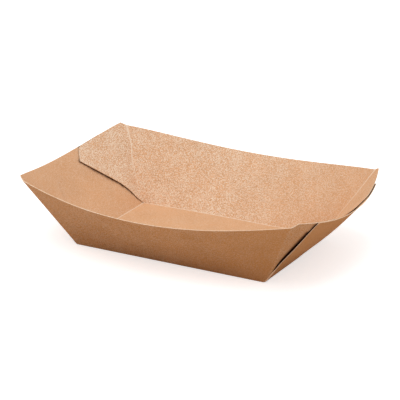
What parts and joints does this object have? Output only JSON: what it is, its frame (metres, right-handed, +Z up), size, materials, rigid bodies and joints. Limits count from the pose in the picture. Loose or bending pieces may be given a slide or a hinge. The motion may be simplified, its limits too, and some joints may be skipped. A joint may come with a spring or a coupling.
{
  "type": "paper food tray",
  "caption": "Open kraft paper food tray folded from one sheet, with a flat rectangular base, flared long walls, and end walls glued over corner flaps, for serving hot snacks.",
  "frame": {"origin": "under the middle of the flat base, on the surface that the tray stands on", "axes": "+X along the tray's length, +Y across it, +Z up out of the open top"},
  "size_m": [0.2108, 0.1493, 0.0478],
  "materials": {
    "kraft_board": "uncoated brown kraft board, matt, with fine fibre grain"
  },
  "bodies": {
    "root": {"tray": "kraft_board"}
  },
  "joints": []
}
